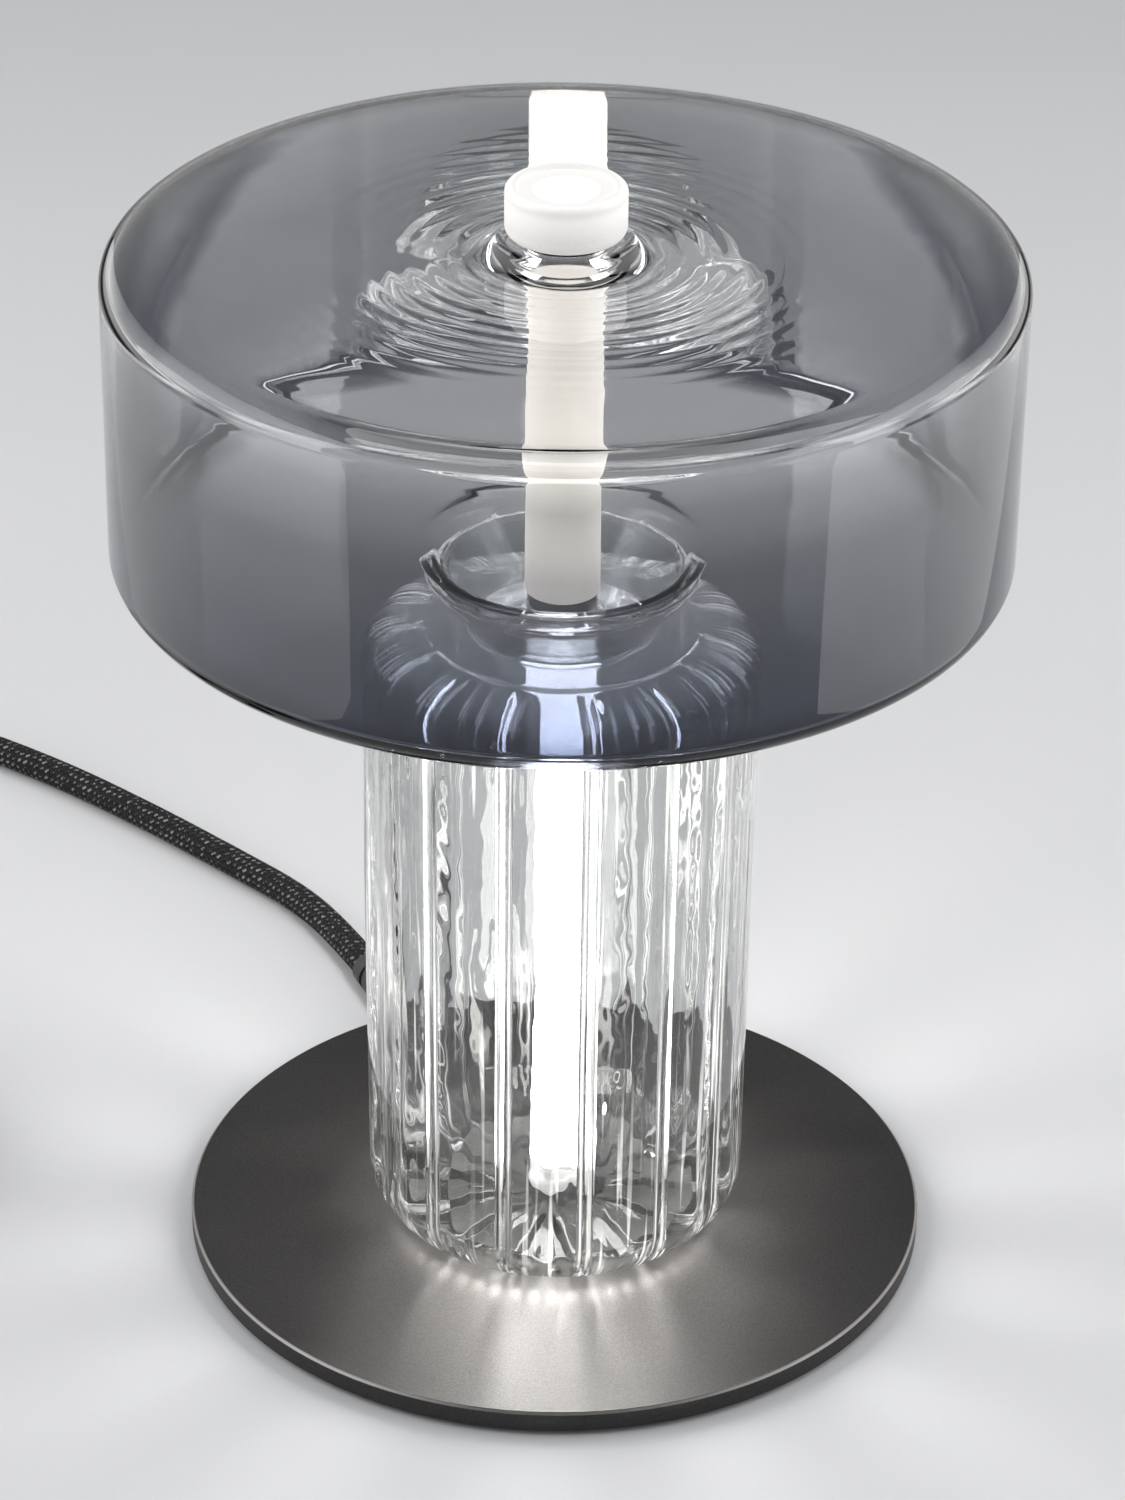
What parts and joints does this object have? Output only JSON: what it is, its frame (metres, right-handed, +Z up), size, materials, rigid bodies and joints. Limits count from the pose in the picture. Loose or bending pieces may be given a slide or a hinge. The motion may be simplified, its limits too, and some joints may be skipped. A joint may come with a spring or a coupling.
{
  "type": "glass table lamp",
  "caption": "Table lamp with a smoke glass drum on a ribbed clear vase, a frosted column of light through both, a steel disc base and a textile cord with an inline switch.",
  "frame": {"origin": "centre of the round base, on the table", "axes": "+Z up along the column of light, -Y towards the viewer, and the cord leaves the back of the base on the -X side"},
  "size_m": [0.3743, 0.3602, 0.278],
  "materials": {
    "base_coat": "fine textured powder coat, satin",
    "cover_coat": "matt powder coat",
    "steel": "zinc plated",
    "foot_rubber": "matt",
    "cord_rubber": "satin",
    "clear_silicone": "clear, satin",
    "clear_glass": "clear, polished",
    "smoke_glass": "smoke tint, polished, with fine ripples",
    "frosted_glass": "frosted",
    "crown_metal": "turned, anodised grey",
    "core_metal": "mill",
    "diode_strip": "white strip with yellow diodes",
    "white_plastic": "matt",
    "brass": "turned",
    "cord_braid": "dark braid with light flecks",
    "wire_sleeve": "insulated wire",
    "dark_plastic": "fine grain",
    "rocker_plastic": "satin",
    "board": "circuit board",
    "pin_metal": "nickel plated"
  },
  "bodies": {
    "lamp": {"base_plate": "base_coat", "base_cover": "cover_coat", "cover_screws": "steel", "foot_ring": "foot_rubber", "cord_boot": "cord_rubber", "cord_clamp": "steel", "clamp_screws": "steel", "lamp_leads": "wire_sleeve", "tie_rod": "steel", "stem_washer": "steel", "stem_nut": "steel", "vase_gasket": "clear_silicone", "vase": "clear_glass", "drum_seat_ring": "clear_silicone", "drum": "smoke_glass", "foot_collar": "core_metal", "lower_tube": "frosted_glass", "lower_led_core": "core_metal", "lower_led_strips": "diode_strip", "crown_ring": "crown_metal", "upper_tube": "frosted_glass", "upper_led_core": "core_metal", "upper_led_strips": "diode_strip", "top_plug": "white_plastic", "top_nut": "steel", "lamp_cord": "cord_braid", "switch_base": "dark_plastic", "switch_cover": "dark_plastic", "rocker_pin": "steel", "switch_contacts": "brass", "switch_screws": "steel", "supply_cord": "cord_braid", "cord_coil": "cord_braid", "plug_cord": "cord_braid", "plug_boot": "cord_rubber", "adaptor_base": "dark_plastic", "adaptor_cover": "dark_plastic", "adaptor_board": "board", "plug_pins": "pin_metal"},
    "cap_lifter": {"cap_gasket": "clear_silicone"},
    "cap_turner": {"cap": "frosted_glass", "cap_insert": "brass"},
    "rocker": {"switch_rocker": "rocker_plastic"}
  },
  "joints": [
    {"name": "cap_lift", "type": "slide", "parent": "lamp", "child": "cap_lifter", "axis": [0, 0, 1], "range_m": [0, 0.005]},
    {"name": "cap_turn", "type": "hinge", "parent": "cap_lifter", "child": "cap_turner", "pos_m": [0, 0, 0.27], "axis": [0, 0, 1], "range_deg": [0, 2250]},
    {"name": "rocker_tilt", "type": "hinge", "parent": "lamp", "child": "rocker", "pos_m": [-0.242, 0.137, 0.0102], "axis": [1, 0, 0], "range_deg": [0, 16]}
  ],
  "couplings": [
    {"joint": "cap_lift", "follows": "cap_turn", "m_per_rad": 0.00012732}
  ]
}
